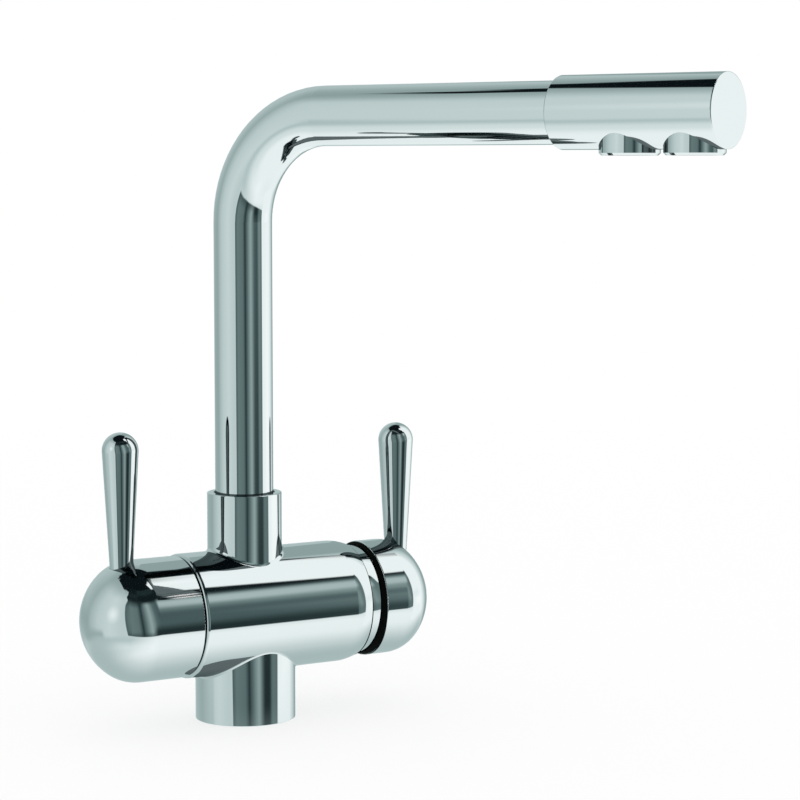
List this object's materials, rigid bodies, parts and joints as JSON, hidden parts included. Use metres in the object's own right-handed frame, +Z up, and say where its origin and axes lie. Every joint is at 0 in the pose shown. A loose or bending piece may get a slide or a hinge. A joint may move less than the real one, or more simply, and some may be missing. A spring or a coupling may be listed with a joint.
{
  "type": "three-way kitchen tap",
  "caption": "Chromed kitchen tap with a swivelling L-shaped spout, twin outlets, a filtered-water selector lever and a hot and cold mixer lever on a barrel body.",
  "frame": {"origin": "middle of the pedestal's foot, on the worktop, at the mouth of the central fixing stud's socket", "axes": "+Z up along the spout's swivel axis, +X along the barrel to the mixer end, user at -Y"},
  "size_m": [0.1884, 0.2545, 0.2846],
  "materials": {
    "chrome": "polished bright chrome plate on brass",
    "brass": "machined, unplated",
    "steel": "plain stainless",
    "rubber": "matte seal rubber",
    "black_plastic": "black acetal, satin",
    "white_plastic": "white acetal, satin",
    "hose_plastic": "polyethylene hose",
    "ceramic": "lapped alumina ceramic"
  },
  "bodies": {
    "body": {"main_body": "chrome", "base_seal": "rubber", "spout_bush": "black_plastic", "spout_stop_screw": "steel", "filter_valve_body": "brass", "filter_gland_nut": "brass", "filter_seat_seal": "rubber", "filter_fixed_disc": "ceramic", "mixer_base_seal": "rubber", "mixer_fixed_disc": "ceramic", "mixer_housing": "white_plastic", "mixer_clamp_nut": "brass", "mixer_cover_ring": "chrome"},
    "spout": {"spout_stem": "brass", "stem_rings": "rubber", "spout_tube": "chrome", "filter_hose": "hose_plastic", "spout_head": "chrome", "outlet_mains": "chrome", "outlet_filter": "chrome", "aerator_mains": "white_plastic", "aerator_filter": "white_plastic", "outlet_washers": "rubber", "flow_divider": "white_plastic"},
    "filter_handle": {"left_dome": "chrome", "left_lever": "chrome", "left_grub_screw": "steel", "filter_spindle": "brass", "filter_moving_disc": "ceramic"},
    "mixer_rotor": {"mixer_carrier": "white_plastic", "mixer_pivot_pin": "steel"},
    "mixer_handle": {"right_dome": "chrome", "right_lever": "chrome", "right_grub_screw": "steel", "mixer_gaiter": "rubber", "mixer_stem": "brass"},
    "mixer_plate": {"mixer_slider": "white_plastic", "mixer_moving_disc": "ceramic"}
  },
  "joints": [
    {"name": "spout_swivel", "type": "hinge", "parent": "body", "child": "spout", "pos_m": [0, 0, 0], "axis": [0, 0, 1], "range_deg": [-143.5, 96.5]},
    {"name": "filter_lever_turn", "type": "hinge", "parent": "body", "child": "filter_handle", "pos_m": [0, 0, 0.0489], "axis": [1, 0, 0], "range_deg": [-90, 90]},
    {"name": "mixer_temperature", "type": "hinge", "parent": "body", "child": "mixer_rotor", "pos_m": [0.0337, 0, 0.0489], "axis": [1, 0, 0], "range_deg": [-45, 45]},
    {"name": "mixer_flow", "type": "hinge", "parent": "mixer_rotor", "child": "mixer_handle", "pos_m": [0.0337, 0, 0.0489], "axis": [0, 1, 0], "range_deg": [0, 18]},
    {"name": "mixer_disc_slide", "type": "slide", "parent": "mixer_rotor", "child": "mixer_plate", "axis": [0, 0, 1], "range_m": [0, 0.0022]}
  ],
  "couplings": [
    {"joint": "mixer_disc_slide", "follows": "mixer_flow", "m_per_rad": 0.007}
  ]
}
